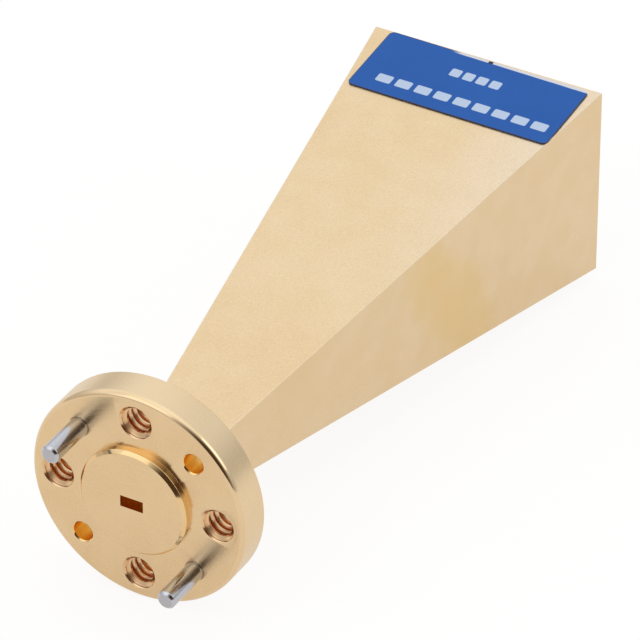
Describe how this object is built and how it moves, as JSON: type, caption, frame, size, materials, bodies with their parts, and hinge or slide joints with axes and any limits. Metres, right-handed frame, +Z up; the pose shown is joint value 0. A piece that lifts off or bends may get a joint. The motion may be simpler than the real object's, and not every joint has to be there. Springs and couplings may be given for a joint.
{
  "type": "horn antenna",
  "caption": "Small pyramidal horn antenna for millimetre waves, gold plated, with a round waveguide flange, screw holes, alignment holes and steel dowel pins.",
  "frame": {"origin": "on the axis of the rectangular guide, in the plane of the flange's ring face, where the screw holes open", "axes": "+Y along the guide from the flange to the mouth of the horn; +X along the broad side of the guide; +Z up, to the face with the label"},
  "size_m": [0.0214, 0.0614, 0.019],
  "materials": {
    "plated_horn": "pale gold plating over a fine grained surface, satin",
    "plated_flange": "gold plating over fine turning marks, satin, polished chamfers",
    "pin_steel": "ground and polished",
    "label_film": "smooth printed film, blue field and white edge"
  },
  "bodies": {
    "root": {"horn_body": "plated_horn", "flange": "plated_flange", "left_dowel_pin": "pin_steel", "right_dowel_pin": "pin_steel", "label": "label_film"}
  },
  "joints": []
}
